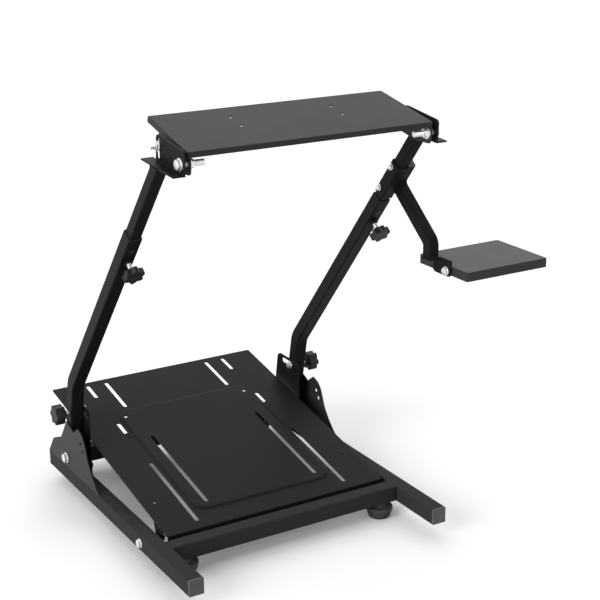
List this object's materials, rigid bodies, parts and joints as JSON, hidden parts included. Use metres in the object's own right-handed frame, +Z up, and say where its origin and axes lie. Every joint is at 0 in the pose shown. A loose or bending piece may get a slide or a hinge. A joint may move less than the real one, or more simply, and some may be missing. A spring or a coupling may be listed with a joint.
{
  "type": "racing wheel stand",
  "caption": "Foldable stand for a game steering wheel: floor rails, sloping pedal plate, telescopic leaning uprights, tilting wheel deck and side shifter plate.",
  "frame": {"origin": "on the floor, under the middle of the bounding box", "axes": "+Z up, -Y towards the driver, +X to the driver's right, where the shifter plate is"},
  "size_m": [0.726, 0.6484, 0.7627],
  "materials": {
    "black_coat": "satin black powder coat",
    "black_plastic": "matte",
    "zinc": "bright zinc plate",
    "rubber": "matte"
  },
  "bodies": {
    "base": {"front_crossbar": "black_coat", "front_left_foot": "rubber", "front_right_foot": "rubber", "left_front_cap": "black_plastic", "left_hinge_bolt": "zinc", "left_inner_gusset": "black_coat", "left_outer_gusset": "black_coat", "left_pivot_bolt": "zinc", "left_rail": "black_coat", "left_rear_cap": "black_plastic", "rear_crossbar": "black_coat", "rear_left_foot": "rubber", "rear_right_foot": "rubber", "right_front_cap": "black_plastic", "right_hinge_bolt": "zinc", "right_inner_gusset": "black_coat", "right_outer_gusset": "black_coat", "right_pivot_bolt": "zinc", "right_rail": "black_coat", "right_rear_cap": "black_plastic"},
    "pedals": {"pedal_plate": "black_coat"},
    "mast": {"left_clamp_knob": "black_plastic", "left_clamp_stud": "zinc", "left_lock_bolt": "zinc", "left_lock_knob": "black_plastic", "left_lower_tube": "black_coat", "right_clamp_knob": "black_plastic", "right_clamp_stud": "zinc", "right_lock_bolt": "zinc", "right_lock_knob": "black_plastic", "right_lower_tube": "black_coat"},
    "column": {"left_deck_pivot_bolt": "zinc", "left_head_bracket": "black_coat", "left_upper_tube": "black_coat", "right_deck_pivot_bolt": "zinc", "right_head_bracket": "black_coat", "right_upper_tube": "black_coat", "shifter_arm": "black_coat", "shifter_bolt": "zinc", "shifter_bracket": "black_coat", "shifter_collar": "black_coat"},
    "deck": {"left_deck_lock_bolt": "zinc", "right_deck_lock_bolt": "zinc", "wheel_deck": "black_coat"},
    "shifter": {"shifter_plate": "black_coat"}
  },
  "joints": [
    {"name": "mast_fold", "type": "hinge", "parent": "base", "child": "mast", "pos_m": [-0.086, 0.17842, 0.074], "axis": [1, 0, 0], "range_deg": [-15, 12]},
    {"name": "mast_slide", "type": "slide", "parent": "mast", "child": "column", "axis": [0, -0.6314, 0.7755], "range_m": [0, 0.12]},
    {"name": "deck_tilt", "type": "hinge", "parent": "column", "child": "deck", "pos_m": [-0.086, -0.28737, 0.714], "axis": [1, 0, 0], "range_deg": [-11, 6]},
    {"name": "shifter_tilt", "type": "hinge", "parent": "column", "child": "shifter", "pos_m": [0.191, -0.2702, 0.46824], "axis": [1, 0, 0], "range_deg": [-12, 12]},
    {"name": "pedal_tilt", "type": "hinge", "parent": "base", "child": "pedals", "pos_m": [-0.086, -0.14058, 0.0415], "axis": [1, 0, 0], "range_deg": [-3, 5]}
  ]
}
